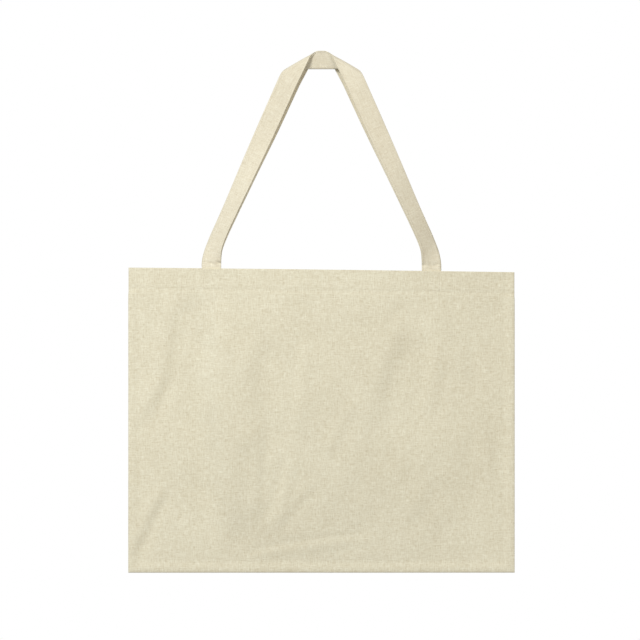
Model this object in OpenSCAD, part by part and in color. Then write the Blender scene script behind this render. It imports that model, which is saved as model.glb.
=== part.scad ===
// Flat canvas tote bag with two long straps, hanging from a hook by its strap loops.
//
// The origin is where a hook bears: the underside of the folded strap loops, in the middle
// between the front and the rear strap. +Z is up, +X is to the right and the front faces -Y.
// All sizes are in millimetres.

/* [Bag] */
// Finished width across the side seams
bag_w = 500; // [340:5:640]
// Finished height from the bottom seam up to the mouth
bag_h = 392; // [260:2:520]
// Gap between the two panels at the middle of the open mouth
mouth_gap = 40; // [30:1:80]

/* [Cloth] */
// Thickness of one layer of canvas
cloth_t = 0.6; // [0.4:0.05:0.9]
// Depth of the hem, which is turned in twice round the mouth
hem_h = 30; // [20:1:50]
// Width of the seam allowance inside the sides and the bottom
seam_w = 10; // [6:1:16]

/* [Straps] */
// Width of a strap
strap_w = 25; // [18:1:40]
// Thickness of a strap, which is four layers of canvas pressed flat
strap_t = 2.2; // [1.6:0.1:3.2]
// Distance between the middles of a strap's two roots
root_spacing = 284; // [160:2:360]
// Height of the hook point above the mouth
strap_drop = 259; // [160:1:360]
// Length of the strap end that is sewn inside the hem
strap_tuck = 28; // [18:1:45]
// Radius at which the front strap folds over the hook
front_fold_r = 4; // [2.5:0.1:6]
// Radius at which the rear strap folds over the hook
rear_fold_r = 2.5; // [2:0.1:6]
// Largest twist of a strap's legs, in degrees
leg_twist = 38; // [0:1:42]
// Height above the mouth at which a leg turns from upright to its slope
leg_bend_h = 23; // [16:1:40]

/* [Stitching] */
// Width of a line of stitching
thread_w = 0.5; // [0.3:0.05:0.8]
// How far a line of stitching stands proud of the cloth
thread_proud = 0.15; // [0.05:0.05:0.3]
// Distance of a line of stitching from the edge that it runs along
stitch_inset = 2.5; // [1.5:0.5:4]
// Width of the overlocked edge of a seam allowance
overlock_w = 2.3; // [1.5:0.1:4]

/* [Hidden] */

canvas = [0.80, 0.74, 0.61];
strap_canvas = [0.83, 0.78, 0.66];
thread = [0.90, 0.86, 0.76];

// Cells of a panel's grid across and up, between its margins
cells_x = 22;
cells_z = 14;
// Width over which the cloth's thickness steps at the edge of a hem or an allowance
step_w = 0.4;
// How quickly the panels part above the bottom seam
rise_power = 2.2;
// Rings along each part of a strap
leg_rings = 18;
fold_rings = 9;
// Height from the mouth over which a strap's root turns into its twisted leg
root_turn_h = 36;
// Half of the height over which a leg turns from upright to its slope
bend_half = min(20, leg_bend_h - 2);
// Flat length between the two folds, along the top edge of the loop
loop_flat = 1;
// Half of the gap between the front and the rear loop
loop_clear = 0.6;
// Gap between a strap's sewn end and its moving loop
hinge_clear = 0.3;
// Length of strap left flat before its fold begins
flat_lead = 2;

mouth_z = -strap_drop;
bottom_z = mouth_z - bag_h;
root_x = root_spacing / 2;
half_w = bag_w / 2;
open_w = half_w - seam_w;
open_h = bag_h - seam_w;
loop_mid_z = strap_w / 2;
loop_y = strap_t / 2 + loop_clear;

// ---- The shape of the bag ------------------------------------------------------------------

// Share of the way up from the bottom seam to the mouth
function rise(z) = max(0, min(1, (z - bottom_z - seam_w) / open_h));

// How far a panel stands off the middle plane between its margins
function bulge(x, z) =
    let (across = min(1, abs(x) / open_w))
    mouth_gap / 2 * (1 - pow(across, 2)) * (1 - pow(1 - rise(z), rise_power));

// Half thickness of the sewn edge, which grows from two layers at the bottom to three at the hem
function edge_t(z) = cloth_t * (2 + rise(z));

// Distances of a panel's outer and inner faces from the middle plane
function outer_y(x, z) = edge_t(z) + bulge(x, z);
function in_margin(x, z) = abs(x) >= open_w - 0.001 || z <= bottom_z + seam_w + 0.001;
function in_hem(z) = z >= mouth_z - hem_h - 0.001;
function inner_y(x, z) =
    in_margin(x, z) ? 0 : max(0, outer_y(x, z) - (in_hem(z) ? 3 : 1) * cloth_t);

function between(a, b, n) = [for (i = [0:n]) a + (b - a) * i / n];

panel_xs = concat(
    [-half_w],
    [-open_w],
    between(-open_w + step_w, open_w - step_w, cells_x),
    [open_w],
    [half_w]
);
panel_zs = concat(
    [bottom_z],
    [bottom_z + seam_w],
    between(bottom_z + seam_w + step_w, mouth_z - hem_h - step_w, cells_z),
    [mouth_z - hem_h],
    [mouth_z - hem_h / 2, mouth_z]
);

// A closed skin over rows of rings: every ring has the same number of points, going round
module skin(rings) {
    n = len(rings[0]);
    last = len(rings) - 1;
    points = [for (ring = rings) each ring];
    sides = [
        for (i = [0:last - 1], k = [0:n - 1])
            let (a = i * n + k, b = i * n + (k + 1) % n)
            each [[a, b, b + n], [a, b + n, a + n]]
    ];
    caps = [[for (k = [n - 1:-1:0]) k], [for (k = [0:n - 1]) last * n + k]];
    polyhedron(points, concat(sides, caps), convexity = 8);
}

// One canvas panel, on the side of the middle plane that faces -Y
module panel() {
    nx = len(panel_xs);
    nz = len(panel_zs);
    outer = [for (z = panel_zs, x = panel_xs) [x, -outer_y(x, z), z]];
    inner = [for (z = panel_zs, x = panel_xs) [x, -inner_y(x, z), z]];
    n = nx * nz;
    faces_outer = [
        for (j = [0:nz - 2], i = [0:nx - 2])
            let (a = j * nx + i)
            each [[a, a + nx, a + nx + 1], [a, a + nx + 1, a + 1]]
    ];
    faces_inner = [for (f = faces_outer) [for (k = [2, 1, 0]) f[k] + n]];
    rim = concat(
        [for (i = [0:nx - 1]) i],
        [for (j = [1:nz - 1]) j * nx + nx - 1],
        [for (i = [nx - 2:-1:0]) (nz - 1) * nx + i],
        [for (j = [nz - 2:-1:1]) j * nx]
    );
    faces_rim = [
        for (k = [0:len(rim) - 1])
            let (a = rim[k], b = rim[(k + 1) % len(rim)])
            each [[a, b, b + n], [a, b + n, a + n]]
    ];
    polyhedron(concat(outer, inner), concat(faces_outer, faces_inner, faces_rim), convexity = 8);
}

// The line of thread that holds a panel's hem
module hem_stitching() {
    z = mouth_z - hem_h + stitch_inset;
    end_x = half_w - stitch_inset;
    xs = [for (x = panel_xs) max(-end_x, min(end_x, x))];
    skin([
        for (x = xs)
            let (front = -outer_y(x, z) - thread_proud, back = -inner_y(x, z))
            [[x, front, z - thread_w / 2], [x, back, z - thread_w / 2],
             [x, back, z + thread_w / 2], [x, front, z + thread_w / 2]]
    ]);
}

// ---- The shape of a strap ------------------------------------------------------------------

// Each leg of a strap rises from its root to a soft fold, and between the two folds the strap
// runs level behind its legs. A fold is a half turn round a cylinder of radius r, whose axis
// lies at the angle phi above the level, and the leg rises at twice that angle.

// Where the fold starts on the middle line of the left leg
function fold_x(phi, r) =
    -(loop_flat / 2 + (strap_w / 2 / sin(phi) + PI * r / tan(phi)) * cos(phi));
function fold_z(phi, r) = loop_mid_z - PI * r * cos(phi);

// The angle phi at which the leg's slope meets its root, by repeated substitution
function fold_angle(r, phi = 30, steps = 12) =
    steps == 0 ? phi
    : fold_angle(r, atan2(fold_z(phi, r) - mouth_z - leg_bend_h, root_x + fold_x(phi, r)) / 2, steps - 1);

function smooth(a, b, v) = let (q = max(0, min(1, (v - a) / (b - a)))) q * q * (3 - 2 * q);
function mix(a, b, q) = a + (b - a) * q;
function unit(v) = v / norm(v);

// Where a strap's root is, at the middle of its thickness, and how far the mouth turns it
root_y = bulge(root_x, mouth_z) - strap_t / 2;
root_turn = atan(mouth_gap * root_x / pow(open_w, 2));

// How far a leg has moved sideways at a height above the mouth, per unit of slope
function leg_run(h) =
    h <= leg_bend_h - bend_half ? 0
    : h >= leg_bend_h + bend_half ? h - leg_bend_h
    : pow(h - leg_bend_h + bend_half, 2) / (4 * bend_half);
function leg_slope(h) = max(0, min(1, (h - leg_bend_h + bend_half) / (2 * bend_half)));

// A ruling is a straight line across the strap: [middle, step along it per unit of width, normal]
function leg_ruling(h, phi, r, flat_h) =
    let (
        run = cos(2 * phi) / sin(2 * phi),
        top_y = loop_y + 2 * r,
        lean = smooth(0, flat_h, h),
        twist = h < root_turn_h
            ? mix(root_turn, leg_twist, smooth(0, root_turn_h, h))
            : leg_twist * (1 - smooth(root_turn_h, flat_h, h)),
        middle = [-root_x + run * leg_run(h), -mix(root_y, top_y, lean), mouth_z + h],
        along = unit([run * leg_slope(h), 0, 1]),
        level = [along[2], 0, -along[0]],
        across = cos(twist) * level + sin(twist) * [0, -1, 0]
    )
    [middle, across, cross(across, along)];

function fold_ruling(angle, phi, r) =
    let (
        axis = [cos(phi), 0, sin(phi)],
        out = [-sin(phi), 0, cos(phi)],
        start = [fold_x(phi, r), -(loop_y + 2 * r), fold_z(phi, r)],
        travel = angle * PI / 180 * r / tan(phi),
        middle = start + r * sin(angle) * out + [0, r * (1 - cos(angle)), 0] + travel * axis
    )
    [middle, axis / sin(phi), sin(angle) * out - [0, cos(angle), 0]];

// The rulings of a strap's left half, from its root to the middle of the loop
function half_rulings(r) =
    let (
        phi = fold_angle(r),
        flat_h = fold_z(phi, r) - mouth_z - (strap_w / 2 / tan(phi) + flat_lead) * sin(2 * phi)
    )
    concat(
        [for (h = between(hinge_clear, flat_h, leg_rings)) leg_ruling(h, phi, r, flat_h)],
        [for (angle = between(0, 180, fold_rings)) fold_ruling(angle, phi, r)]
    );

function mirrored(v) = [-v[0], v[1], v[2]];
function rulings(r) =
    let (half = half_rulings(r))
    concat(half, [for (i = [len(half) - 1:-1:0]) [for (v = half[i]) mirrored(v)]]);

// A band that runs along a strap, between two lines across it and two depths through it
module along_strap(r, from, to, depth) {
    skin([
        for (ruling = rulings(r))
            [for (corner = [[from, depth], [to, depth], [to, -depth], [from, -depth]])
                ruling[0] + corner[0] * ruling[1] + corner[1] * ruling[2]]
    ]);
}

module strap_loop(r) {
    along_strap(r, -strap_w / 2, strap_w / 2, strap_t / 2);
}

// The two lines of thread through a strap, one along each edge
module topstitching(r) {
    line = strap_w / 2 - stitch_inset;
    for (side = [-1, 1])
        along_strap(r, side * line - thread_w / 2, side * line + thread_w / 2,
            strap_t / 2 + thread_proud);
}

// Puts a flat piece on the inside of the mouth at the left or the right root, middle at the mouth
module at_root(side) {
    translate([side * root_x, -root_y, mouth_z])
        rotate([0, 0, side * root_turn])
            children();
}

// The sewn end of a strap, inside the hem
module strap_end(side) {
    at_root(side)
        translate([-strap_w / 2, -strap_t / 2, -strap_tuck])
            cube([strap_w, strap_t, strap_tuck]);
}

// The box and cross of thread that holds a strap's end to the hem
module strap_tack(side) {
    w = strap_w - 2 * stitch_inset;
    h = min(strap_tuck, hem_h) - 2 * stitch_inset;
    depth = strap_t + 3 * cloth_t + 2 * thread_proud;
    diagonal = atan2(h, w);
    at_root(side)
        translate([0, strap_t / 2 + thread_proud, -stitch_inset - h / 2])
            rotate([90, 0, 0])
                linear_extrude(depth) {
                    difference() {
                        square([w, h], center = true);
                        square([w - 2 * thread_w, h - 2 * thread_w], center = true);
                    }
                    for (turn = [-diagonal, diagonal])
                        rotate(turn)
                            square([norm([w, h]) - 2 * thread_w, thread_w], center = true);
                }
}

// ---- The seams -----------------------------------------------------------------------------

// The line of thread that joins the two panels down one side
module side_stitching(side) {
    translate([side * (half_w - 2 * thread_w), 0, (bottom_z + mouth_z) / 2])
        cube([thread_w, 2 * cloth_t, bag_h - 4 * thread_w], center = true);
}

// The line of thread that joins the two panels along the bottom
module bottom_stitching() {
    translate([0, 0, bottom_z + 2 * thread_w])
        cube([bag_w - 6 * thread_w, 2 * cloth_t, thread_w], center = true);
}

// Thread wrapped over the raw edge of a side's seam allowance
module side_overlock(side) {
    bottom = bottom_z + seam_w + overlock_w;
    translate([side * open_w, 0, (bottom + mouth_z - hem_h) / 2])
        cube([overlock_w, 1.6 * cloth_t, mouth_z - hem_h - bottom], center = true);
}

// Thread wrapped over the raw edge of the bottom's seam allowance
module bottom_overlock() {
    translate([0, 0, bottom_z + seam_w])
        cube([2 * open_w, 1.6 * cloth_t, overlock_w], center = true);
}

// ---- The nodes -----------------------------------------------------------------------------

module to_rear() { mirror([0, 1, 0]) children(); }

color(canvas) panel();  // front_panel
color(canvas) to_rear() panel();  // rear_panel

color(strap_canvas) strap_loop(front_fold_r);  // front_strap
color(strap_canvas) to_rear() strap_loop(rear_fold_r);  // rear_strap

color(strap_canvas) strap_end(-1);  // front_left_strap_end
color(strap_canvas) strap_end(1);  // front_right_strap_end
color(strap_canvas) to_rear() strap_end(-1);  // rear_left_strap_end
color(strap_canvas) to_rear() strap_end(1);  // rear_right_strap_end

color(thread) strap_tack(-1);  // front_left_strap_tack
color(thread) strap_tack(1);  // front_right_strap_tack
color(thread) to_rear() strap_tack(-1);  // rear_left_strap_tack
color(thread) to_rear() strap_tack(1);  // rear_right_strap_tack

color(thread) hem_stitching();  // front_hem_stitching
color(thread) to_rear() hem_stitching();  // rear_hem_stitching
color(thread) topstitching(front_fold_r);  // front_strap_topstitching
color(thread) to_rear() topstitching(rear_fold_r);  // rear_strap_topstitching

color(thread) side_stitching(-1);  // left_seam_stitching
color(thread) side_stitching(1);  // right_seam_stitching
color(thread) bottom_stitching();  // bottom_seam_stitching

color(thread) side_overlock(-1);  // left_overlock
color(thread) side_overlock(1);  // right_overlock
color(thread) bottom_overlock();
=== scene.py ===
"""Canvas tote bag: folded cloth, straps and every row of stitching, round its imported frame."""

import math

import bpy
import numpy as np
from bpy.props import FloatProperty, FloatVectorProperty, IntProperty, PointerProperty
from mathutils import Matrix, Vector, noise


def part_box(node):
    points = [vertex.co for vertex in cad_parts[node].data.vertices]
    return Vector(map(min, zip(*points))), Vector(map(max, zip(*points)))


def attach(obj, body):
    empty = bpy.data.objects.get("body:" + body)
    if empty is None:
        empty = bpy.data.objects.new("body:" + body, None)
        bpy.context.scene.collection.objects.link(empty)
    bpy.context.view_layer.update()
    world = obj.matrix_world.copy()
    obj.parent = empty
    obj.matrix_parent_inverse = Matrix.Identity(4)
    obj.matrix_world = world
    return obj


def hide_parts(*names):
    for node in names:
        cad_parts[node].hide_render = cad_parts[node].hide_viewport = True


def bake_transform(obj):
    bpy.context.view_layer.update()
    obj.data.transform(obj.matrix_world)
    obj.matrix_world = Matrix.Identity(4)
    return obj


bl_info = {
    "name": "Canvas Tote Bag",
    "version": (1, 0, 0),
    "blender": (4, 5, 0),
    "location": "3D View > Sidebar > Tote Bag",
    "description": "Folds, hangs and sews a canvas tote bag round its packed frame",
    "category": "Add Mesh",
}

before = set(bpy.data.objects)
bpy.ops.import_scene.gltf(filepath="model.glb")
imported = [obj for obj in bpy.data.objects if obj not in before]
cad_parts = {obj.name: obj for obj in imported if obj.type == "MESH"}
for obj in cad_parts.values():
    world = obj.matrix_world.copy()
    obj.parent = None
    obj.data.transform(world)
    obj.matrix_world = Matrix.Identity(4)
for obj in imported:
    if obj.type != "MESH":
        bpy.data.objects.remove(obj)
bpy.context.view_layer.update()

# The bag's own sizes, as the frame has them
PANEL_LOW, PANEL_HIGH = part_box("front_panel")
END_LOW, END_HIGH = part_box("front_left_strap_end")
HALF_W = PANEL_HIGH.x
MOUTH_Z = PANEL_HIGH.z
BOTTOM_Z = PANEL_LOW.z
BAG_H = MOUTH_Z - BOTTOM_Z
MOUTH_Y = -PANEL_LOW.y
ROOT_X = -(END_LOW.x + END_HIGH.x) / 2
TUCK = END_HIGH.z - END_LOW.z

MM = 0.001
# The hem's second turn is cut this much short of the first
HEM_SHORT = 3 * MM
FRONT, REAR = 1, -1
FACES = {FRONT: "front", REAR: "rear"}


# ---- Settings -------------------------------------------------------------------------------


class ToteCloth(bpy.types.PropertyGroup):
    """The canvas and how it is folded"""

    layer: FloatProperty(
        name="Layer", description="Thickness of one layer of canvas", default=0.6 * MM,
        unit="LENGTH",
    )
    hem: FloatProperty(
        name="Hem", description="Depth of the hem", default=30 * MM, unit="LENGTH"
    )
    seam: FloatProperty(
        name="Seam allowance", description="Width of the seam allowance", default=10 * MM,
        unit="LENGTH",
    )
    cell: FloatProperty(
        name="Cell", description="Size of the cloth's mesh cells", default=3 * MM, unit="LENGTH"
    )
    tilt: FloatProperty(
        name="Tilt", description="How far the mouth's left end is above its middle",
        default=3 * MM, unit="LENGTH",
    )
    rumple: FloatProperty(
        name="Rumple", description="Depth of the cloth's broad undulations", default=1.4 * MM,
        unit="LENGTH",
    )


class ToteStraps(bpy.types.PropertyGroup):
    """The straps and how they fold over a hook"""

    width: FloatProperty(
        name="Width", description="Width of a strap", default=25 * MM, unit="LENGTH"
    )
    ply: FloatProperty(
        name="Ply", description="Thickness of each of a strap's four layers", default=0.55 * MM,
        unit="LENGTH",
    )
    front_r: FloatProperty(
        name="Front fold", description="Radius at which the front strap folds", default=4 * MM,
        unit="LENGTH",
    )
    rear_r: FloatProperty(
        name="Rear fold", description="Radius at which the rear strap folds", default=2.5 * MM,
        unit="LENGTH",
    )
    twist: FloatProperty(
        name="Twist", description="Largest twist of a leg", default=math.radians(38),
        subtype="ANGLE",
    )
    soften: FloatProperty(
        name="Soften", description="Length over which folds are rounded at the outer edge",
        default=3 * MM, unit="LENGTH",
    )
    arch: FloatProperty(
        name="Arch", description="Length over which folds are rounded at the inner edge",
        default=11 * MM, unit="LENGTH",
    )
    gape: FloatProperty(
        name="Gape", description="How far each ply of the inner edge stands off over the hook",
        default=1.5 * MM, unit="LENGTH",
    )
    lean: FloatProperty(
        name="Lean", description="How far the inner edge leans forward over the hook",
        default=12 * MM, unit="LENGTH",
    )
    rings: IntProperty(name="Rings", description="Rings along a strap's leg", default=70)


class ToteSewing(bpy.types.PropertyGroup):
    """The thread and its stitches"""

    pitch: FloatProperty(
        name="Pitch", description="Length of a stitch", default=3.0 * MM, unit="LENGTH"
    )
    thread: FloatProperty(
        name="Thread", description="Width of the thread", default=0.5 * MM, unit="LENGTH"
    )
    inset: FloatProperty(
        name="Inset", description="Distance of a stitch line from its edge", default=2.5 * MM,
        unit="LENGTH",
    )
    overlock: FloatProperty(
        name="Overlock", description="Width of an overlocked edge", default=2.3 * MM, unit="LENGTH"
    )
    loop_pitch: FloatProperty(
        name="Loop pitch", description="Distance between overlock loops", default=2.4 * MM,
        unit="LENGTH",
    )


class ToteColours(bpy.types.PropertyGroup):
    """The colours of the cloth and the thread"""

    canvas: FloatVectorProperty(
        name="Canvas", description="Colour of the bag's canvas", default=(0.815, 0.768, 0.598),
        subtype="COLOR", size=3,
    )
    strap: FloatVectorProperty(
        name="Straps", description="Colour of the straps", default=(0.83, 0.772, 0.612),
        subtype="COLOR", size=3,
    )
    thread: FloatVectorProperty(
        name="Thread", description="Colour of the sewing thread", default=(0.82, 0.76, 0.62),
        subtype="COLOR", size=3,
    )
    overlock: FloatVectorProperty(
        name="Overlock", description="Colour of the overlocking thread", default=(0.86, 0.82, 0.72),
        subtype="COLOR", size=3,
    )


GROUPS = {
    "tote_cloth": ToteCloth, "tote_straps": ToteStraps, "tote_sewing": ToteSewing,
    "tote_colours": ToteColours,
}


# ---- Materials ------------------------------------------------------------------------------


class Wire:
    """An output socket that takes part in arithmetic as a number does"""

    def __init__(self, graph, socket):
        self.graph = graph
        self.socket = socket

    def math(self, operation, *values):
        inputs = dict(enumerate((self, *values)))
        return self.graph.add("ShaderNodeMath", {"operation": operation}, inputs)

    def __add__(self, other):
        return self.math("ADD", other)

    def __sub__(self, other):
        return self.math("SUBTRACT", other)

    def __rsub__(self, other):
        return self.graph.add("ShaderNodeMath", {"operation": "SUBTRACT"}, {0: other, 1: self})

    def __mul__(self, other):
        return self.math("MULTIPLY", other)

    def __truediv__(self, other):
        return self.math("DIVIDE", other)

    def __abs__(self):
        return self.math("ABSOLUTE")

    __radd__ = __add__
    __rmul__ = __mul__

    def sine(self):
        return self.math("SINE")

    def __pow__(self, other):
        return self.math("POWER", other)

    def at_most(self, other):
        return self.math("MINIMUM", other)

    def ramp(self, low, high):
        """0 below low and 1 above high, with a smooth rise between"""
        return self.graph.add(
            "ShaderNodeMapRange", {"interpolation_type": "SMOOTHSTEP"},
            {"Value": self, "From Min": low, "From Max": high},
        )


class Graph:
    """A material's nodes"""

    def __init__(self, name):
        self.material = bpy.data.materials.new(name)
        self.material.use_nodes = True
        self.tree = self.material.node_tree
        self.shader = self.tree.nodes["Principled BSDF"]

    def add(self, kind, settings=None, inputs=None, output=0):
        """A node of this kind, with its settings made first and then its sockets fed"""
        node = self.tree.nodes.new(kind)
        for key, value in (settings or {}).items():
            setattr(node, key, value)
        for key, value in (inputs or {}).items():
            self.feed(node.inputs[key], value)
        return Wire(self, node.outputs[output])

    def feed(self, socket, value):
        """Links a wire to a socket, or sets the socket to a plain value"""
        if isinstance(value, Wire):
            self.tree.links.new(value.socket, socket)
        else:
            socket.default_value = value

    def noise(self, vector, detail=2.0, roughness=0.5):
        """Smooth noise from about 0 to 1, whose bumps are about 1 unit of the vector"""
        return self.add(
            "ShaderNodeTexNoise", {},
            {"Vector": vector, "Scale": 1.0, "Detail": detail, "Roughness": roughness},
        )

    def vector(self, x, y, z=0.0):
        return self.add("ShaderNodeCombineXYZ", {}, {"X": x, "Y": y, "Z": z})

    def mix(self, factor, a, b):
        """Colour a where factor is 0 and colour b where it is 1"""
        node = self.tree.nodes.new("ShaderNodeMix")
        node.data_type = "RGBA"
        self.feed(node.inputs["Factor"], factor)
        for socket, colour in ((node.inputs[6], a), (node.inputs[7], b)):
            self.feed(socket, colour if isinstance(colour, Wire) else (*colour, 1))
        return Wire(self, node.outputs[2])

    def finish(self, colour, roughness, height, depth, sheen):
        """Feeds the shader: colour, roughness, and a bump of that height times that depth"""
        bump = self.add(
            "ShaderNodeBump", {}, {"Height": height, "Distance": depth, "Strength": 1.0}
        )
        self.feed(self.shader.inputs["Base Color"], colour)
        self.feed(self.shader.inputs["Roughness"], roughness)
        self.feed(self.shader.inputs["Normal"], bump)
        self.shader.inputs["Specular IOR Level"].default_value = 0.25
        self.shader.inputs["Sheen Weight"].default_value = sheen
        self.shader.inputs["Sheen Roughness"].default_value = 0.5
        return self.material


def tinted(colour, value, warmth=0.0):
    """A colour made lighter or darker, and warmer or cooler"""
    return [min(1, c * value * (1 + warmth * w)) for c, w in zip(colour, (1, 0.1, -1.2))]


def canvas_material(name, colour, yarn, slub, wear_at=None):
    """Unbleached plain-weave canvas, with yarns that many mm apart and as uneven as slub says"""
    g = Graph(name)
    flat = g.add("ShaderNodeUVMap", {"uv_map": "cloth"})
    axes = g.tree.nodes.new("ShaderNodeSeparateXYZ")
    g.feed(axes.inputs[0], flat)
    across = Wire(g, axes.outputs["X"]) * 1000.0
    along = Wire(g, axes.outputs["Y"]) * 1000.0
    # Yarns that swell and thin along their length, upright and level, with short thick slubs
    shades = []
    for this, that, seed in ((across, along, 3.0), (along, across, 7.0)):
        thin = g.noise(g.vector(this / (yarn * 1.5), that / 6.0, seed), 2.0) - 0.5
        long = g.noise(g.vector(this / (yarn * 2.4), that / 28.0, seed + 10), 2.0) - 0.5
        slubs = g.noise(g.vector(this / (yarn * 2.0), that / 9.0, seed + 20), 1.0)
        thick, gaunt = slubs.ramp(0.58, 0.70), (1 - slubs).ramp(0.60, 0.72)
        shades.append(thin * 1.5 + long * 0.8 + thick * 0.38 - gaunt * 0.42)
    uneven = shades[0] + shades[1]
    # The plain weave itself: yarns that pass over and under, with hollows between them
    upright_yarn, level_yarn = ((v * (math.pi / yarn)).sine() for v in (across, along))
    weave = upright_yarn * level_yarn * 0.5 + (abs(upright_yarn) + abs(level_yarn)) ** 0.5 - 1.1
    clouds = g.noise(g.vector(across / 85.0, along / 85.0, 21.0), 3.0)
    flecks = g.noise(g.vector(across / 1.2, along / 1.7, 31.0), 2.0).ramp(0.71, 0.77)
    # The weave term paints the hollows between the yarns a little darker: painted shade. The yarns'
    # unevenness and the clouds are the cloth's own tone
    shade = uneven * slub + (clouds - 0.5) * 0.35 + weave * 0.05 + 0.5
    cloth = g.mix(shade.ramp(-0.45, 1.45), tinted(colour, 0.72, 0.06), tinted(colour, 1.22, -0.05))
    cloth = g.mix(flecks * 0.6, cloth, tinted(colour, 0.5, 0.2))
    if wear_at:
        # Folds and edges that hands and shelves rub are a little greyer
        half_w, height = wear_at
        to_side = half_w - abs(across)
        to_mouth = abs(along - height)
        edge = 1 - abs(to_side).at_most(to_mouth).at_most(abs(along)).ramp(0.5, 5.0)
        rubbed = g.noise(g.vector(across / 9.0, along / 9.0, 41.0), 3.0).ramp(0.35, 0.7)
        wear = edge * rubbed
        cloth = g.mix(wear * 0.22, cloth, tinted(colour, 0.80, 0.03))
    return g.finish(cloth, 0.93 - uneven * 0.05, weave * 0.3 + uneven * slub, 0.16 * MM, 0.12)


def thread_material(name, colour):
    """Twisted cotton thread"""
    g = Graph(name)
    flat = g.add("ShaderNodeUVMap", {"uv_map": "thread"})
    axes = g.tree.nodes.new("ShaderNodeSeparateXYZ")
    g.feed(axes.inputs[0], flat)
    turns = Wire(g, axes.outputs["X"]) * 2.0 + Wire(g, axes.outputs["Y"]) * 5.0
    strands = (turns * (2 * math.pi)).sine()
    where = g.add("ShaderNodeTexCoord", {}, {}, "Object")
    grain = g.add("ShaderNodeVectorMath", {"operation": "SCALE"}, {0: where, "Scale": 300.0})
    # The noise is the thread's own uneven tone; the strands term paints the twist's crests lighter
    # and its grooves darker: painted highlight and shade
    tone = g.noise(grain, 2.0) * 0.7 + strands * 0.12 + 0.1
    twisted = g.mix(tone, tinted(colour, 0.82), tinted(colour, 1.12))
    return g.finish(twisted, 0.8 - strands * 0.04, strands, 0.04 * MM, 0.1)


# ---- Cloth ----------------------------------------------------------------------------------


def smooth(low, high, value):
    """0 below low and 1 above high, with a smooth rise between"""
    q = np.clip((value - low) / (high - low), 0, 1)
    return q * q * (3 - 2 * q)


def fold_back(s, r):
    """How far along and how deep cloth lies that turns back round radius r at s = 0"""
    turn = np.clip(s / r, -math.pi / 2, math.pi / 2)
    straight = s - turn * r
    along = np.where(s < 0, straight, -straight) + r * (np.cos(turn) - math.pi / 2)
    return along, r * (1 + np.sin(turn))


def soft_noise(x, z, size, seed):
    """Smooth noise from about -1 to 1, whose bumps are about that size"""
    flat = zip(np.ravel(x) / size, np.ravel(z) / size)
    return np.array([noise.noise(Vector((a, b, seed))) for a, b in flat]).reshape(np.shape(x)) * 1.6


# Creases in each panel: [depth and half-width in mm, then points as shares of the half-width from
# the middle and of the height from the bottom]. A positive depth falls away to the crease's right.
CREASES = {
    FRONT: [
        (
            1.6, 9, (-0.720, 0.960), (-0.752, 0.860), (-0.778, 0.750), (-0.798, 0.641),
            (-0.876, 0.542), (-0.943, 0.449),
        ),
        (1.3, 7, (-0.788, 0.291), (-0.876, 0.185), (-0.948, 0.089), (-0.974, 0.033)),
        (
            -4.2, 18, (-0.610, 0.960), (-0.575, 0.750), (-0.585, 0.568), (-0.550, 0.370),
            (-0.530, 0.080),
        ),
        (2.7, 17, (-0.344, 0.800), (-0.328, 0.568), (-0.307, 0.353)),
        (0.9, 7, (-0.302, 0.460), (-0.318, 0.304), (-0.328, 0.142)),
        (-0.7, 7, (-0.096, 0.800), (-0.121, 0.634), (-0.147, 0.446)),
        (-1.0, 7, (-0.160, 0.407), (-0.204, 0.271), (-0.271, 0.142)),
        (0.4, 6, (-0.014, 0.304), (-0.121, 0.231), (-0.229, 0.139)),
        (1.25, 16, (0.488, 0.843), (0.395, 0.733), (0.323, 0.618), (0.261, 0.433)),
        (0.6, 8, (0.188, 0.569), (0.085, 0.436), (0.024, 0.366)),
        (-0.9, 9, (0.571, 0.813), (0.550, 0.667), (0.500, 0.505)),
        (0.55, 8, (0.706, 0.796), (0.778, 0.618), (0.871, 0.476), (0.897, 0.257)),
        (0.4, 4, (-0.471, 0.043), (-0.214, 0.086), (0.044, 0.109), (0.301, 0.128)),
        (-0.16, 4, (-0.316, 0.043), (0.044, 0.076), (0.352, 0.102)),
        (-0.4, 4, (0.700, 0.972), (0.990, 0.985)),
        (0.5, 9, (0.600, 0.340), (0.540, 0.240), (0.440, 0.140)),
        (0.5, 6, (-0.640, 0.960), (-0.700, 0.860), (-0.720, 0.740)),
    ],
    REAR: [
        (1.6, 11, (-0.55, 0.88), (-0.38, 0.60), (-0.12, 0.42)),
        (-1.9, 18, (0.30, 0.86), (0.34, 0.50), (0.28, 0.14)),
        (1.3, 8, (0.72, 0.90), (0.80, 0.66), (0.93, 0.46)),
        (1.0, 6, (-0.96, 0.16), (-0.78, 0.34)),
        (-1.1, 10, (-0.70, 0.72), (-0.64, 0.48), (-0.66, 0.22)),
        (1.0, 7, (0.10, 0.56), (0.06, 0.34), (0.12, 0.14)),
        (0.6, 5, (0.02, 0.10), (0.30, 0.12), (0.62, 0.07)),
    ],
}


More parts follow.
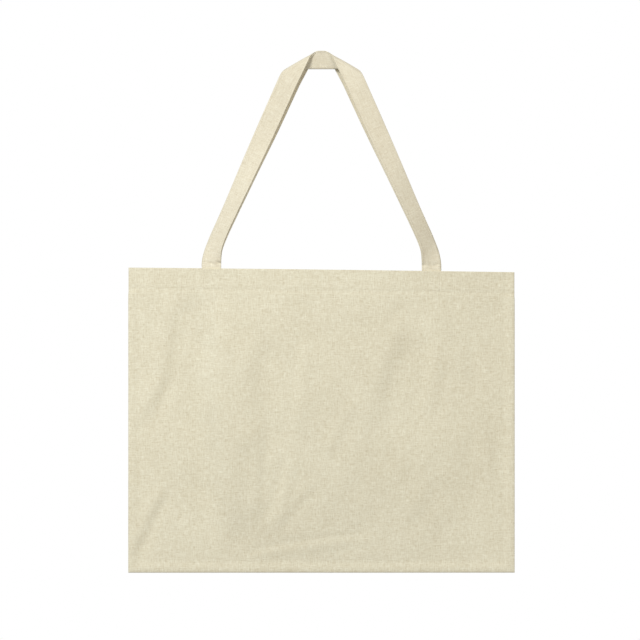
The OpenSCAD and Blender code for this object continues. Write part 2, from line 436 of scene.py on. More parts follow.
def crease_height(x, z, depth, half_width, *points):
    """How far one crease moves the cloth outwards: an S across its line that fades at its ends"""
    width = half_width * MM
    line = [np.array([px * HALF_W, BOTTOM_Z + pz * BAG_H]) for px, pz in points]
    lengths = [np.linalg.norm(b - a) for a, b in zip(line, line[1:])]
    total, before = sum(lengths), 0.0
    nearest = np.full(np.shape(x), 1e9)
    offset = np.zeros(np.shape(x))
    along = np.zeros(np.shape(x))
    for a, b, length in zip(line, line[1:], lengths):
        direction = (b - a) / length
        t = np.clip((x - a[0]) * direction[0] + (z - a[1]) * direction[1], 0, length)
        dx, dz = x - a[0] - t * direction[0], z - a[1] - t * direction[1]
        distance = np.hypot(dx, dz)
        closer = distance < nearest
        nearest = np.where(closer, distance, nearest)
        # To the right of a crease that runs downwards is the side of +x
        right = -direction[1] * dx + direction[0] * dz
        offset = np.where(closer, np.sign(right) * distance, offset)
        along = np.where(closer, (before + t) / total, along)
        before += length
    fade = smooth(0, 0.25, along) * smooth(0, 0.25, 1 - along)
    q = offset / width
    return -depth * MM * q * np.exp(0.5 - q * q / 2) * fade


class Bag:
    """The shape that the bag's cloth hangs in"""

    # Each face's place in the noise
    SEEDS = {FRONT: 23.3, REAR: 47.9}
    # How far raw edges push the cloth out, and the hem's stitches pull it in
    RIDGE = 0.9 * MM
    PULL = 0.55 * MM
    HEM_LINE = 2.5 * MM
    # How far from a seam the cloth's rolled edge reaches
    ROLL = 4 * MM

    def __init__(self, cloth):
        self.cloth = cloth
        self.t = cloth.layer
        self.open_w = HALF_W - cloth.seam
        self.half_gap = MOUTH_Y - 3 * self.t

    def rise(self, z):
        """Share of the way up from the bottom seam to the mouth"""
        return np.clip((z - BOTTOM_Z - self.cloth.seam) / (BAG_H - self.cloth.seam), 0, 1)

    def bulge(self, x, z):
        """How far a panel stands off the middle plane between its margins"""
        across = np.minimum(1, np.abs(x) / self.open_w)
        return self.half_gap * (1 - across**2) * (1 - (1 - self.rise(z)) ** 2.2)

    def free(self, x, z):
        """How far a panel may stand off on its own: 0 where the two panels lie on each other"""
        return smooth(0, 4 * MM, self.bulge(x, z))

    def creases(self, x, z, side):
        """How far all of a panel's creases move it outwards"""
        return sum(crease_height(x, z, *c) for c in CREASES[side])

    def sway(self, x, z):
        """How far both panels wander together off the middle plane"""
        loose = 1 - smooth(0.55, 0.95, self.rise(z))
        wander = soft_noise(x, z, 170 * MM, 2.5) * 0.9 * MM * loose
        return wander - self.creases(x, z, FRONT) * (1 - self.free(x, z))

    def rumple(self, x, z, side):
        """How far the cloth stands out from its smooth shape"""
        seed = self.SEEDS[side]
        above = smooth(MOUTH_Z - 60 * MM, MOUTH_Z - 20 * MM, z)
        broad = soft_noise(x, z * 0.5, 55 * MM, seed) * self.cloth.rumple
        middling = soft_noise(x, z * 0.6, 21 * MM, seed + 3) * self.cloth.rumple * 0.3
        fine = soft_noise(x, z * 0.8, 8 * MM, seed + 5) * self.cloth.rumple * 0.07
        # The cloth gathers and puckers slightly along the side and bottom seams
        to_seam = np.minimum(HALF_W - np.abs(x), z - BOTTOM_Z)
        near_seam = np.exp(-((to_seam - 5 * MM) / (6 * MM)) ** 2)
        pucker = soft_noise(x, z, 6 * MM, seed + 9) * 0.3 * MM * near_seam
        own = (broad + middling + self.creases(x, z, side)) * self.free(x, z)
        return own * (1 - 0.7 * above) + fine + pucker

    def outer(self, x, z, side):
        """Distance of the outer layer's middle from the middle plane"""
        t = self.t
        return t * (1.5 + self.rise(z)) + self.bulge(x, z) + self.rumple(x, z, side)

    def lift(self, x, z):
        """How far the cloth is raised at the left and lowered at the right"""
        return -self.cloth.tilt * x / HALF_W * (z - BOTTOM_Z) / BAG_H

    def place(self, x, z, depth, side):
        """The point at a place on the panel and a depth below its outer layer's middle"""
        t, seam = self.t, self.cloth.seam
        to_seam = np.minimum(HALF_W - np.abs(x), z - BOTTOM_Z)
        in_body = 1 - smooth(MOUTH_Z - self.cloth.hem - 2 * MM, MOUTH_Z - self.cloth.hem, z)
        # The overlocked raw edges lie behind the outer layer and push it out in a low ridge
        ridge = self.RIDGE * (1 - smooth(seam - 0.5 * MM, seam + 2.5 * MM, to_seam)) * in_body
        stitch_z = MOUTH_Z - self.cloth.hem + self.HEM_LINE
        pulled = self.PULL * np.exp(-(((z - stitch_z) / (1.6 * MM)) ** 2))
        on_top = np.clip(1 - depth / t, 0, 1)
        # The seams pull the cloth in and roll its edges
        inwards = 1 - np.clip(to_seam / self.ROLL, 0, 1)
        rolled = 0.3 + 0.7 * np.sqrt(np.clip(1 - inwards**2, 0, 1))
        stands_off = self.outer(x, z, side) + (ridge - pulled) * on_top - depth
        y = -side * stands_off * rolled + self.sway(x, z)
        return np.stack([x, y, z + self.lift(x, z)], -1)

    def panel(self, a, b, side):
        """Folds the flat panel: a runs across from its middle, b upwards from the bottom fold"""
        t, hem = self.t, self.cloth.hem
        # Allowances are cut back to a mitre, so that they don't lie on each other at the corners
        past = np.clip(np.abs(a) - HALF_W, 0, None)
        body_top = BAG_H - hem
        squeezed = past + b * (body_top - 1.4 * past) / body_top
        b = np.where((past > 1.5 * MM) & (b < body_top + 1 * MM), squeezed, b)
        a = a * np.where(b < 0, (HALF_W + b) / HALF_W, 1)
        side_r = t / 2 + t * smooth(body_top - 6 * MM, body_top - 1 * MM, b)
        past_side, side_depth = fold_back(np.abs(a) - HALF_W, side_r)
        past_bottom, bottom_depth = fold_back(-b, t / 2)
        past_mouth, mouth_depth = fold_back(b - BAG_H, t)
        past_hem, hem_depth = fold_back(b - BAG_H - hem, t / 2)
        z = np.where(b < BAG_H / 2, -past_bottom, BAG_H + past_mouth)
        z = np.where(b > BAG_H + hem / 2, BAG_H - hem - past_hem, z) + BOTTOM_Z
        depth = np.maximum(side_depth, bottom_depth + mouth_depth - hem_depth)
        return self.place(np.sign(a) * (HALF_W + past_side), z, depth, side)


def steps(low, high, size):
    """Values from low to high, about size apart"""
    return list(np.linspace(low, high, max(2, round((high - low) / size) + 1)))


def fold_steps(at, r):
    """Values that carry cloth round a fold of radius r at that place"""
    return [at + r * angle for angle in np.linspace(-math.pi / 2, math.pi / 2, 7)]


def mesh_grid(name, rows, columns):
    """A flat grid with one vertex for each pair of a row and a column"""
    bpy.ops.object.select_all(action="DESELECT")
    bpy.ops.mesh.primitive_grid_add(
        x_subdivisions=len(columns) - 1, y_subdivisions=len(rows) - 1, size=2
    )
    piece = bpy.context.object
    piece.name = name
    piece.data.name = name
    return piece


def set_points(piece, points):
    """Moves a piece's vertices to these points"""
    piece.data.vertices.foreach_set("co", np.ascontiguousarray(points, np.float32).ravel())
    piece.data.update()


def lay_flat_map(piece, flat):
    """Gives the cloth a UV map that holds each point's place on the flat cloth, in metres"""
    while piece.data.uv_layers:
        piece.data.uv_layers.remove(piece.data.uv_layers[0])
    layer = piece.data.uv_layers.new(name="cloth")
    corner = np.zeros(len(piece.data.loops), np.int32)
    piece.data.loops.foreach_get("vertex_index", corner)
    layer.data.foreach_set("uv", np.ascontiguousarray(flat[corner], np.float32).ravel())


def cut_away(piece, unwanted):
    """Deletes the faces for which unwanted is true, and what only they used"""
    mesh = piece.data
    bpy.ops.object.mode_set(mode="EDIT")
    bpy.ops.mesh.select_mode(type="FACE")
    bpy.ops.mesh.select_all(action="DESELECT")
    bpy.ops.object.mode_set(mode="OBJECT")
    mesh.polygons.foreach_set("select", unwanted)
    bpy.ops.object.mode_set(mode="EDIT")
    bpy.ops.mesh.delete(type="FACE")
    bpy.ops.object.mode_set(mode="OBJECT")


def thicken(piece, thickness, material):
    """Makes cloth of a sheet: gives it two faces and a cut edge"""
    solid = piece.modifiers.new("Cloth thickness", "SOLIDIFY")
    solid.thickness = thickness
    solid.offset = 0
    solid.use_even_offset = False
    bpy.ops.object.modifier_apply(modifier=solid.name)
    bpy.ops.object.mode_set(mode="EDIT")
    bpy.ops.mesh.select_all(action="SELECT")
    bpy.ops.mesh.normals_make_consistent(inside=False)
    bpy.ops.object.mode_set(mode="OBJECT")
    bpy.ops.object.shade_smooth_by_angle(angle=math.radians(50))
    piece.data.materials.clear()
    piece.data.materials.append(material)


def face_centres(flat, piece):
    """Each face's middle on the flat cloth"""
    return np.array([flat[list(p.vertices)].mean(0) for p in piece.data.polygons])


def add_panel(side, bag, material):
    """One panel, cut flat with its allowances and hem and then folded"""
    cloth, t = bag.cloth, bag.t
    wrap = 1.5 * t * math.pi / 2
    side_steps = sorted({*fold_steps(HALF_W, t / 2), *fold_steps(HALF_W, 1.5 * t)})
    half = steps(0, HALF_W - wrap - 1 * MM, cloth.cell)[1:]
    tab = steps(HALF_W + wrap + 0.6 * MM, HALF_W + cloth.seam, 2.2 * MM)
    right = [*half, *side_steps, *tab]
    columns = [-v for v in reversed(right)] + [0.0] + right
    end = BAG_H + 2 * cloth.hem - HEM_SHORT
    rows = [
        *steps(-cloth.seam, -1 * MM, 2.2 * MM), *fold_steps(0, t / 2),
        *steps(2 * MM, BAG_H - cloth.hem - 5 * MM, cloth.cell),
        *steps(BAG_H - cloth.hem - 3 * MM, BAG_H - 2 * MM, 2.2 * MM), *fold_steps(BAG_H, t),
        *steps(BAG_H + 3 * MM, BAG_H + cloth.hem - 1.5 * MM, cloth.cell),
        *fold_steps(BAG_H + cloth.hem, t / 2), *steps(BAG_H + cloth.hem + 2 * MM, end, cloth.cell),
    ]
    piece = mesh_grid(f"{FACES[side]}_panel_cloth", rows, columns)
    a, b = (grid.ravel() for grid in np.meshgrid(columns, rows))
    flat = np.stack([a, b], -1)
    set_points(piece, bag.panel(a, b, side))
    lay_flat_map(piece, flat)
    centres = face_centres(flat, piece)
    across, up = np.abs(centres[:, 0]), centres[:, 1]
    beyond_body = (up < 0) | (up > BAG_H - cloth.hem)
    unwanted = (across > HALF_W + wrap) & beyond_body
    unwanted |= (across > HALF_W) & ((up < 0) | (up > BAG_H))
    unwanted |= (across > HALF_W - wrap) & (up > BAG_H)
    cut_away(piece, unwanted)
    thicken(piece, 0.92 * t, material)
    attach(piece, "bag")
    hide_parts(f"{FACES[side]}_panel")
    return piece


# ---- Straps ---------------------------------------------------------------------------------


def unit(v):
    """Vectors made 1 long"""
    return v / np.linalg.norm(v, axis=-1, keepdims=True)


class Strap:
    """A strip folded in four, sewn in at both ends and folded over a hook in the middle"""

    LOOP_CLEAR = 0.6 * MM
    LOOP_FLAT = 1 * MM
    LEAD = 2 * MM
    BEND_H = 23 * MM
    BEND_HALF = 20 * MM
    TURN_H = 36 * MM
    # Rings are close together up to here, where the strap bends
    FINE_H = 12 * MM
    # Reach along the strap of its shape over the hook
    HOOK_REACH = 15 * MM

    def __init__(self, side, straps, bag):
        self.side = side
        self.bag = bag
        self.w = straps.width
        self.p = straps.ply
        self.twist = straps.twist
        self.soften = straps.soften
        self.arch = straps.arch
        self.gape = straps.gape
        self.lean = straps.lean
        self.rings = straps.rings
        self.r = straps.front_r if side == FRONT else straps.rear_r
        self.y = 2 * self.p + self.LOOP_CLEAR
        self.phi = self.fold_angle()
        self.root_y = float(bag.bulge(ROOT_X, MOUTH_Z)) - 2 * self.p
        self.root_turn = math.atan(2 * bag.half_gap * ROOT_X / bag.open_w**2)

    def fold_start(self, phi):
        """Where the fold starts on the middle line of the left leg: x and z"""
        along = self.w / 2 / math.sin(phi) + math.pi * self.r / math.tan(phi)
        x = self.LOOP_FLAT / 2 + along * math.cos(phi)
        return -x, self.w / 2 - math.pi * self.r * math.cos(phi)

    def fold_angle(self):
        """The angle of the fold at which the leg's slope meets its root"""
        phi = math.radians(30)
        for _ in range(12):
            x, z = self.fold_start(phi)
            phi = math.atan2(z - MOUTH_Z - self.BEND_H, ROOT_X + x) / 2
        return phi

    def leg(self, h, flat_h):
        """Middle, ruling and normal of the left leg at a height above the mouth"""
        run = 1 / math.tan(2 * self.phi)
        low, high = self.BEND_H - self.BEND_HALF, self.BEND_H + self.BEND_HALF
        if h <= low:
            moved = 0.0
        elif h >= high:
            moved = h - self.BEND_H
        else:
            moved = (h - low) ** 2 / (4 * self.BEND_HALF)
        slope = run * min(1, max(0, (h - low) / (2 * self.BEND_HALF)))
        lean = float(smooth(0, flat_h, h))
        if h < self.TURN_H:
            turned = float(smooth(0, self.TURN_H, h))
            twist = self.root_turn + (self.twist - self.root_turn) * turned
        else:
            twist = self.twist * (1 - float(smooth(self.TURN_H, flat_h, h)))
        y = self.root_y + (self.y + 2 * self.r - self.root_y) * lean
        middle = np.array([-ROOT_X + run * moved, -y, MOUTH_Z + h])
        along = unit(np.array([slope, 0, 1.0]))
        level = np.array([along[2], 0, -along[0]])
        across = math.cos(twist) * level - math.sin(twist) * np.array([0, 1.0, 0])
        return middle, across, np.cross(across, along)

    def fold(self, turn):
        """Middle, ruling and normal in the left fold, after that many radians of its turn"""
        phi, r = self.phi, self.r
        axis = np.array([math.cos(phi), 0, math.sin(phi)])
        out = np.array([-math.sin(phi), 0, math.cos(phi)])
        x, z = self.fold_start(phi)
        start = np.array([x, -(self.y + 2 * r), z])
        middle = start + r * math.sin(turn) * out + np.array([0, r * (1 - math.cos(turn)), 0])
        middle = middle + turn * r / math.tan(phi) * axis
        return middle, axis / math.sin(phi), math.sin(turn) * out - np.array([0, math.cos(turn), 0])

    def rulings(self):
        """Arrays of the middle, ruling and normal along the whole strap, for the front"""
        _, top = self.fold_start(self.phi)
        folded = self.w / 2 / math.tan(self.phi) + self.LEAD
        flat_h = top - MOUTH_Z - folded * math.sin(2 * self.phi)
        bend = self.FINE_H
        heights = [
            *steps(-TUCK, -3 * MM, 4 * MM), *steps(-1.5 * MM, bend, 0.8 * MM),
            *steps(bend + 2 * MM, flat_h, (flat_h - bend) / self.rings),
        ]
        half = [self.leg(h, flat_h) for h in heights]
        half += [self.fold(turn) for turn in np.linspace(0, math.pi, 28)]
        flip = np.array([-1, 1, 1])
        whole = half + [tuple(v * flip for v in ruling) for ruling in reversed(half)]
        return (np.array(column) for column in zip(*whole))

    def section(self, w):
        """Place across the strap and depth through it, at a distance w from the strip's middle"""
        half, p = self.w / 2, self.p
        out = np.abs(w)
        middle_q, middle_d = fold_back(-out, 1.5 * p)
        edge_q, edge_d = fold_back(out - 2 * half, p / 2)
        q = np.where(out < half, -half - middle_q, half + edge_q)
        d = np.where(out < half, 1.5 * p - middle_d, 1.5 * p - edge_d)
        # The two rows of stitching hold the layers down, and between them they stand up a little
        held = np.exp(-(((np.abs(q) - half + 2.5 * MM) / (1.5 * MM)) ** 2))
        return q, -np.sign(w) * d * (1.0 - 0.10 * held + 0.06 * (1 - (q / half) ** 2))

    def surface(self, w):
        """Points of the strip's middle layer at each ruling and each w, and the length along it"""
        middle, ruling, normal = self.rulings()
        q, d = self.section(w)
        s = np.concatenate([[0], np.cumsum(np.linalg.norm(np.diff(middle, axis=0), axis=1))])
        # The two plies of the open edge gape, most of all over the hook
        gape = 0.35 * MM + self.gape * np.exp(-(((s - s[-1] / 2) / (55 * MM)) ** 2))
        open_edge = smooth(self.w / 2 - 3 * MM, self.w / 2, q) * -np.sign(w)
        depth = d + gape[:, None] * open_edge
        points = middle[:, None] + q[None, :, None] * ruling[:, None]
        points = points + depth[..., None] * normal[:, None]
        points = self.rounded(points, s, q)
        height = points[..., 2] - MOUTH_Z
        # Below the mouth the sewn end follows the hem
        sewn = 1 - smooth(0, 25 * MM, height)
        follow = self.bag.rumple(points[..., 0], np.minimum(points[..., 2], MOUTH_Z), self.side)
        loose = smooth(5 * MM, 60 * MM, height)
        x, z = points[..., 0], points[..., 2]
        wander = soft_noise(x, z, 30 * MM, 61.0 + self.side) * 0.8 * MM * loose
        # Just above the mouth the strap crumples a little
        crumpled = np.exp(-(((height - 7 * MM) / (4 * MM)) ** 2))
        wander += soft_noise(x * 0.6, z, 3.5 * MM, 71.0 + self.side) * MM * crumpled
        dent = np.exp(-(((height - 7 * MM) / (2.4 * MM)) ** 2)) * np.where(x > 0, 1.2, 0.7) * MM
        dent = dent * (1 + 0.6 * soft_noise(x, z, 9 * MM, 83.0 + self.side))
        points[..., 1] -= follow * sewn + wander - dent
        points[..., 2] += self.bag.lift(points[..., 0], np.full(height.shape, MOUTH_Z)) * sewn
        # Over the hook the inner edge leans forward
        over_hook = np.exp(-(((s - s[-1] / 2) / self.HOOK_REACH) ** 2))[:, None]
        leaning = np.clip(q / self.w + 0.5, 0, 1)[None, :]
        points[..., 1] -= over_hook * leaning * self.lean
        round_off = 2.6 * MM * (1 - np.exp(-((points[..., 0] / (9 * MM)) ** 2)))
        points[..., 2] += over_hook * ((3.8 - 5.0 * leaning) * MM - round_off * leaning)
        if self.side == REAR:
            # Near the mouth the rear strap hangs further out, behind the front one
            low = smooth(-5 * MM, 3 * MM, height) * (1 - smooth(110 * MM, 200 * MM, height))
            points[..., 0] += np.sign(points[..., 0]) * 1.5 * MM * low
        points[..., 1] *= self.side
        return points, s

    def rounded(self, points, s, q):
        """Rounds the folds off, most of all at the strap's inner edge, away from the sewn ends"""
        eased = []
        for size in (self.soften, self.arch):
            kernel = np.exp(-(((s[:, None] - s[None, :]) / size) ** 2) / 2)
            kernel = kernel * np.gradient(s)[None, :]
            kernel /= kernel.sum(1, keepdims=True)
            eased.append(np.einsum("ij,jkc->ikc", kernel, points))
        inner = np.clip(q / self.w + 0.5, 0, 1)[None, :, None] ** 1.5
        target = eased[0] + (eased[1] - eased[0]) * inner
        free = smooth(TUCK + 12 * MM, TUCK + 50 * MM, np.minimum(s, s[-1] - s))[:, None, None]
        return points + (target - points) * free

    def lines(self, inset):
        """The four lines of topstitching, as points and outward normals"""
        half = self.w / 2
        near, far = inset + 0.3 * MM, 2 * half - inset
        found = []
        for w in (-far, -near, near, far):
            strip = np.array([w - 0.4 * MM, w, w + 0.4 * MM])
            points, _ = self.surface(strip)
            along = np.gradient(points[:, 1], axis=0)
            normal = unit(np.cross(along, points[:, 2] - points[:, 0])) * self.side
            found.append((points[:, 1], normal))
        return found


def add_strap(strap, material):
    """One strap, as a strip folded in four"""
    half, p = strap.w / 2, strap.p
    raw = 2 * half * 2 - 1.6 * MM
    right = [
        *fold_steps(0, 1.5 * p)[3:], *steps(2.2 * MM, 2 * half - 1.6 * MM, 2.2 * MM),
        *fold_steps(2 * half, p / 2), *steps(2 * half + 1.6 * MM, raw, 3 * MM),
    ]
    columns = np.array([-v for v in reversed(right[1:])] + right)
    points, s = strap.surface(columns)
    piece = mesh_grid(f"{FACES[strap.side]}_strap_cloth", s, columns)
    a, b = (grid.ravel() for grid in np.meshgrid(columns, s))
    set_points(piece, points.reshape(-1, 3))
    lay_flat_map(piece, np.stack([a, b], -1))
    thicken(piece, 0.9 * p, material)
    face = FACES[strap.side]
    cross_hinge(piece)
    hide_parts(f"{face}_strap", f"{face}_left_strap_end", f"{face}_right_strap_end")
    return piece, (2 * raw, float(s[-1]))


def cross_hinge(piece):
    """Bakes a piece's placing into its points"""
    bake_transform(piece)


# ---- Sewing ---------------------------------------------------------------------------------


def base_shape(add, scale):
    """A primitive's points, faces and UV map, scaled, to be copied many times"""
    bpy.ops.object.select_all(action="DESELECT")
    add()
    shape = bpy.context.object
    mesh = shape.data
    points = np.array([v.co for v in mesh.vertices]) * np.array(scale)
    uv = mesh.uv_layers.active.data
    # A sphere's faces come in a new order each time, so they are put in order
    faces = []
    for polygon in mesh.polygons:
        corners = zip(polygon.vertices, polygon.loop_indices)
        face = [(v, tuple(uv[i].uv)) for v, i in corners]
        first = face.index(min(face))
        faces.append(face[first:] + face[:first])
    faces.sort()
    bpy.data.objects.remove(shape)
    flat = np.array([at for face in faces for _, at in face])
    return points, [[v for v, _ in face] for face in faces], flat


def stitch_shape(sewing):
    """One stitch, 1 long, lying along X with Z outwards"""
    def add():
        bpy.ops.mesh.primitive_uv_sphere_add(
            segments=8, ring_count=6, radius=0.5, rotation=(0, math.pi / 2, 0)
        )
        bpy.ops.object.transform_apply(rotation=True)
    length = sewing.pitch * 0.86
    points, faces, uv = base_shape(add, (length, sewing.thread, sewing.thread * 0.8))
    # Blunter ends than a ball's, which dip into the cloth
    share = points[:, 0] / (length / 2)
    points[:, 2] -= 0.55 * sewing.thread * share**4
    return points, faces, uv


def loop_shape(sewing, height):
    """One loop of overlocking round a raw edge, which runs along X"""
    def add():
        bpy.ops.mesh.primitive_torus_add(
            major_segments=12, minor_segments=4, major_radius=0.5, minor_radius=0.07,
            rotation=(0, math.pi / 2, 0), generate_uvs=True,
        )
        bpy.ops.object.transform_apply(rotation=True)
    points, faces, uv = base_shape(add, (2.2 * MM, sewing.overlock, height))
    points[:, 0] += points[:, 1] * 0.45
    return points, faces, uv


def even_places(points, normals, pitch):
    """Middles, directions and normals of stitches set end to end along a line"""
    gone = np.concatenate([[0], np.cumsum(np.linalg.norm(np.diff(points, axis=0), axis=1))])
    count = max(1, int(gone[-1] / pitch))
    at = (np.arange(count) + 0.5) * gone[-1] / count
    def sample(values, where):
        return np.stack([np.interp(where, gone, values[:, k]) for k in range(3)], -1)
    ends = gone[-1] / count / 2
    direction = unit(sample(points, at + ends) - sample(points, at - ends))
    normal = sample(normals, at)
    normal = unit(normal - (normal * direction).sum(-1, keepdims=True) * direction)
    return sample(points, at), direction, normal


def repeat(name, shape, places, material):
    """A mesh with a copy of a shape at each place"""
    base, faces, uv = shape
    middles, directions, normals = (np.concatenate(part) for part in zip(*places))
    sides = np.cross(normals, directions)
    points = middles[:, None] + sum(
        base[None, :, k, None] * axis[:, None]
        for k, axis in enumerate((directions, sides, normals))
    )
    count, size = len(middles), len(base)
    all_faces = [[v + i * size for v in f] for i in range(count) for f in faces]
    mesh = bpy.data.meshes.new(name)
    mesh.from_pydata(points.reshape(-1, 3).tolist(), [], all_faces)
    layer = mesh.uv_layers.new(name="thread")
    layer.data.foreach_set("uv", np.tile(uv, (count, 1)).astype(np.float32).ravel())
    mesh.polygons.foreach_set("use_smooth", [True] * len(mesh.polygons))
    mesh.materials.append(material)
    mesh.update()
    piece = bpy.data.objects.new(name, mesh)
    bpy.context.scene.collection.objects.link(piece)
    return piece


def outward(points, side):
    """Normals that face forward for the front side and back for the rear"""
    normals = np.zeros(points.shape)
    normals[:, 1] = -side
    return normals


# ---- Operators ------------------------------------------------------------------------------


def settings(context):
    """The cloth's, the straps', the sewing's and the colours' settings"""
    scene = context.scene
    return scene.tote_cloth, scene.tote_straps, scene.tote_sewing, scene.tote_colours


class TOTE_OT_panels(bpy.types.Operator):
    """Cuts, folds and hangs the front and the rear panel"""

    bl_idname = "tote.panels"
    bl_label = "Panels"

    def execute(self, context):
        cloth, _, _, colours = settings(context)
        bag = Bag(cloth)
        material = canvas_material(
            "Canvas", colours.canvas, yarn=0.75, slub=0.55, wear_at=(HALF_W / MM, BAG_H / MM)
        )
        for side in (FRONT, REAR):
            piece = add_panel(side, bag, material)
        return {"FINISHED"}


class TOTE_OT_straps(bpy.types.Operator):
    """Folds the front and the rear strap and hangs them over the hook"""

    bl_idname = "tote.straps"
    bl_label = "Straps"

    def execute(self, context):
        cloth, straps, _, colours = settings(context)
        material = canvas_material("Strap canvas", colours.strap, yarn=0.7, slub=0.42)
        for side in (FRONT, REAR):
            strap = Strap(side, straps, Bag(cloth))
            piece, cut = add_strap(strap, material)
        return {"FINISHED"}


class TOTE_OT_hem_stitching(bpy.types.Operator):
    """Sews the hem round the mouth, on both of its faces"""

    bl_idname = "tote.hem_stitching"
    bl_label = "Hem stitching"

    def execute(self, context):
        cloth, _, sewing, colours = settings(context)
        bag = Bag(cloth)
        material = thread_material("Thread", colours.thread)
        shape = stitch_shape(sewing)
        x = np.linspace(-HALF_W + sewing.inset, HALF_W - sewing.inset, 400)
        z = np.full(x.shape, MOUTH_Z - cloth.hem + sewing.inset)
        for side in (FRONT, REAR):
            places = []
            for depth, facing in ((-0.5 * bag.t, side), (2.5 * bag.t, -side)):
                points = bag.place(x, z, np.full(x.shape, depth), side)
                places.append(even_places(points, outward(points, facing), sewing.pitch))
            piece = repeat(f"{FACES[side]}_hem_stitches", shape, places, material)
            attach(piece, "bag")
            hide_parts(f"{FACES[side]}_hem_stitching")
        return {"FINISHED"}


class TOTE_OT_strap_stitching(bpy.types.Operator):
    """Sews along both edges of each strap, and sews each strap's ends into the hem"""

    bl_idname = "tote.strap_stitching"
    bl_label = "Strap stitching"

    def execute(self, context):
        cloth, straps, sewing, _ = settings(context)
        bag = Bag(cloth)
        material = bpy.data.materials["Thread"]
        shape = stitch_shape(sewing)
        for side in (FRONT, REAR):
            strap = Strap(side, straps, bag)
            places = []
            for points, normals in strap.lines(sewing.inset):
                raised = points + normals * 0.5 * straps.ply
                places.append(even_places(raised, normals, sewing.pitch))
            piece = repeat(f"{FACES[side]}_strap_stitches", shape, places, material)
            cross_hinge(piece)
            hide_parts(f"{FACES[side]}_strap_topstitching")
            for end, sign in (("left", -1), ("right", 1)):
                self.sew_end(side, end, sign, bag, strap, sewing, shape, material)
        return {"FINISHED"}

    def sew_end(self, side, end, sign, bag, strap, sewing, shape, material):
        """A box and a cross of stitches through a strap's end and the hem"""
        half = strap.w / 2 - sewing.inset
        top, low = -sewing.inset, -TUCK + sewing.inset
        corners = [(-half, low), (half, low), (half, top), (-half, top)]
        crossing = [(corners[0], corners[2]), (corners[1], corners[3])]
        runs = [*zip(corners, corners[1:] + corners[:1]), *crossing]
        places = []
        for (q0, h0), (q1, h1) in runs:
            q, h = np.linspace(q0, q1, 20), np.linspace(h0, h1, 20)
            x = sign * ROOT_X + q
            points = bag.place(x, MOUTH_Z + h, np.full(20, -0.5 * bag.t), side)
            places.append(even_places(points, outward(points, side), sewing.pitch * 0.9))
            inner = strap.root_y - 2 * strap.p * 0.96 + sign * math.tan(strap.root_turn) * -q
            points = np.stack([x, -side * inner, MOUTH_Z + h], -1)
            points[:, 1] -= side * bag.rumple(x, MOUTH_Z + h, side)
            points[:, 2] += bag.lift(x, MOUTH_Z + h)
            places.append(even_places(points, outward(points, -side), sewing.pitch * 0.9))
        face = FACES[side]
        piece = repeat(f"{face}_{end}_box_stitches", shape, places, material)
        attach(piece, "bag")
        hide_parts(f"{face}_{end}_strap_tack")


class TOTE_OT_seams(bpy.types.Operator):
    """Sews the side and bottom seams, and overlocks the raw edges inside"""

    bl_idname = "tote.seams"
    bl_label = "Seams"

    def execute(self, context):
        cloth, _, sewing, colours = settings(context)
        bag = Bag(cloth)
        thread = bpy.data.materials["Thread"]
        overlock = thread_material("Overlocking thread", colours.overlock)
        shape = stitch_shape(sewing)
        open_top = MOUTH_Z - cloth.hem - 2 * MM
        corner = cloth.seam + 2 * MM
        lines = {}
        for name, sign in (("left", -1), ("right", 1)):
            z = np.linspace(BOTTOM_Z + 2 * MM, MOUTH_Z - 2 * MM, 120)
            z_raw = np.linspace(BOTTOM_Z + corner, open_top, 120)
            lines[name] = (
                (np.full(120, sign * (HALF_W - 1 * MM)), z),
                (np.full(120, sign * bag.open_w), z_raw),
            )
        x = np.linspace(-HALF_W + 3 * MM, HALF_W - 3 * MM, 160)
        x_raw = np.linspace(-HALF_W + corner, HALF_W - corner, 160)
        lines["bottom"] = (
            (x, np.full(160, BOTTOM_Z + 1 * MM)),
            (x_raw, np.full(160, BOTTOM_Z + cloth.seam)),
        )
        for name, (seam, raw) in lines.items():
            points = self.in_middle(bag, *seam)
            places = [even_places(points, outward(points, FRONT), sewing.pitch)]
            piece = repeat(f"{name}_seam_stitches", shape, places, thread)
            self.finish(piece, f"{name}_seam_stitching", "thread")
            points = self.in_middle(bag, *raw)
            loop = loop_shape(sewing, 2 * bag.t + 0.5 * MM)
            places = [even_places(points, outward(points, FRONT), sewing.loop_pitch)]
            piece = repeat(f"{name}_overlock_loops", loop, places, overlock)
            self.finish(piece, f"{name}_overlock", "overlock_thread")
        return {"FINISHED"}

    def in_middle(self, bag, x, z):
        """Points between the two panels"""
        return np.stack([x, bag.sway(x, z), z + bag.lift(x, z)], -1)

    def finish(self, piece, node, slot):
        """Puts a seam's stitches on the bag in place of their node"""
        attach(piece, "bag")
        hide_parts(node)


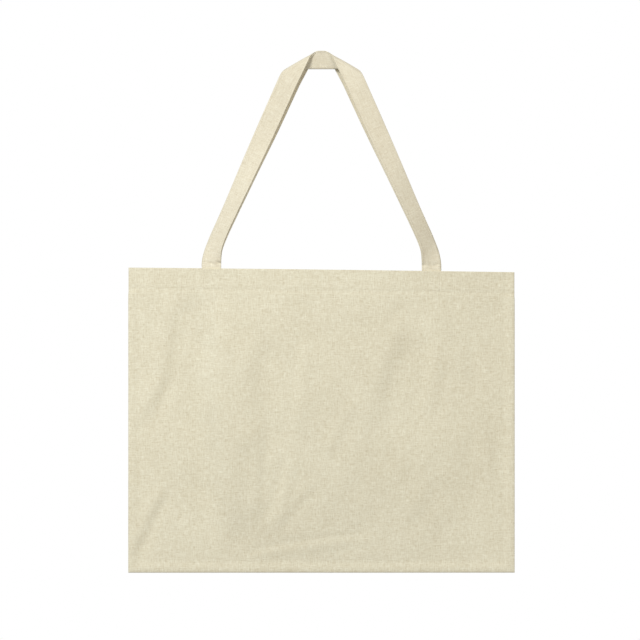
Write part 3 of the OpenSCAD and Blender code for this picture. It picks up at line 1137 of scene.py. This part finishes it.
class TOTE_OT_stage(bpy.types.Operator):
    """Sets the lights, the surround and the camera"""

    bl_idname = "tote.stage"
    bl_label = "Stage"

    def execute(self, context):
        scene = context.scene
        self.light(context, "Key", (-2.1, -2.9, 1.5), 1.2, 110, (1.0, 0.985, 0.955))
        self.light(context, "Fill", (2.4, -2.4, -0.1), 2.2, 31, (1.0, 0.92, 0.79))
        self.light(context, "Back", (1.4, 3.0, 0.9), 2.0, 95, (1.0, 0.98, 0.94))
        self.surround(scene)
        lens, sensor, seen = 150, 36, 0.826
        bpy.ops.object.camera_add(
            location=(-1.9 * MM, MOUTH_Y * -0.5 - seen / 2 * lens / (sensor / 2), -324 * MM),
            rotation=(math.pi / 2, 0, 0),
        )
        camera = context.object
        camera.data.lens = lens
        camera.data.sensor_width = sensor
        scene.camera = camera
        scene.view_settings.view_transform = "Standard"
        return {"FINISHED"}

    def light(self, context, name, place, size, power, colour):
        """A soft square light that faces the bag's middle"""
        aim = Vector((0, 0, (MOUTH_Z + BOTTOM_Z) / 2))
        turn = (aim - Vector(place)).to_track_quat("-Z", "Y").to_euler()
        bpy.ops.object.light_add(type="AREA", location=place, rotation=turn)
        lamp = context.object
        lamp.name = name
        lamp.data.size = size
        lamp.data.energy = power
        lamp.data.color = colour

    def surround(self, scene):
        """A white surround that lights the bag less than it shows"""
        world = bpy.data.worlds.new("Surround")
        scene.world = world
        world.use_nodes = True
        tree = world.node_tree
        tree.nodes["Background"].inputs["Color"].default_value = (1.0, 0.99, 0.97, 1)
        tree.nodes["Background"].inputs["Strength"].default_value = 0.31
        shown = tree.nodes.new("ShaderNodeBackground")
        shown.inputs["Color"].default_value = (1, 1, 1, 1)
        path = tree.nodes.new("ShaderNodeLightPath")
        mix = tree.nodes.new("ShaderNodeMixShader")
        tree.links.new(path.outputs["Is Camera Ray"], mix.inputs[0])
        tree.links.new(tree.nodes["Background"].outputs[0], mix.inputs[1])
        tree.links.new(shown.outputs[0], mix.inputs[2])
        tree.links.new(mix.outputs[0], tree.nodes["World Output"].inputs[0])


OPERATORS = (
    TOTE_OT_panels, TOTE_OT_straps, TOTE_OT_hem_stitching, TOTE_OT_strap_stitching, TOTE_OT_seams,
    TOTE_OT_stage,
)


class TOTE_PT_panel(bpy.types.Panel):
    """Lists the tote bag's settings and the steps that make it"""

    bl_idname = "TOTE_PT_panel"
    bl_label = "Tote Bag"
    bl_space_type = "VIEW_3D"
    bl_region_type = "UI"
    bl_category = "Tote Bag"

    def draw(self, context):
        for operator in OPERATORS:
            self.layout.operator(operator.bl_idname)
        for group, kind in GROUPS.items():
            box = self.layout.box()
            for name in kind.__annotations__:
                box.prop(getattr(context.scene, group), name)


def register():
    for kind in (*GROUPS.values(), *OPERATORS, TOTE_PT_panel):
        bpy.utils.register_class(kind)
    for name, kind in GROUPS.items():
        setattr(bpy.types.Scene, name, PointerProperty(type=kind))


def unregister():
    for name in GROUPS:
        delattr(bpy.types.Scene, name)
    for kind in reversed((*GROUPS.values(), *OPERATORS, TOTE_PT_panel)):
        bpy.utils.unregister_class(kind)


def main():
    register()
    bpy.ops.tote.panels()
    bpy.ops.tote.straps()
    bpy.ops.tote.hem_stitching()
    bpy.ops.tote.strap_stitching()
    bpy.ops.tote.seams()
    bpy.ops.tote.stage()


if __name__ == "__main__":
    main()
